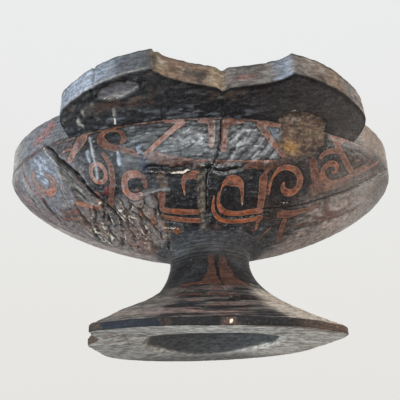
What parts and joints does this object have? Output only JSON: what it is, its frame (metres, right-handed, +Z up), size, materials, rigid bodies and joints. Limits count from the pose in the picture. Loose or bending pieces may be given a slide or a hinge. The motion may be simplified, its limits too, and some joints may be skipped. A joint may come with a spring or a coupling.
{
  "type": "lacquered winged stem cup",
  "caption": "Oval carved wooden cup with winged side ears on a turned trumpet foot, black lacquer painted with red scrolls, cracked and worn",
  "frame": {"origin": "on the ground under the middle of the foot", "axes": "+X along the bowl's length, +Y across it through the ears, +Z up"},
  "size_m": [0.1812, 0.144, 0.0919],
  "materials": {
    "painted_lacquer": "black lacquer with red painted scrolls, satin gloss, cracked and flaked to bare wood",
    "worn_lacquer": "black lacquer worn to grey brown turned wood, with traces of red"
  },
  "bodies": {
    "root": {"bowl": "painted_lacquer", "stem": "worn_lacquer"}
  },
  "joints": []
}
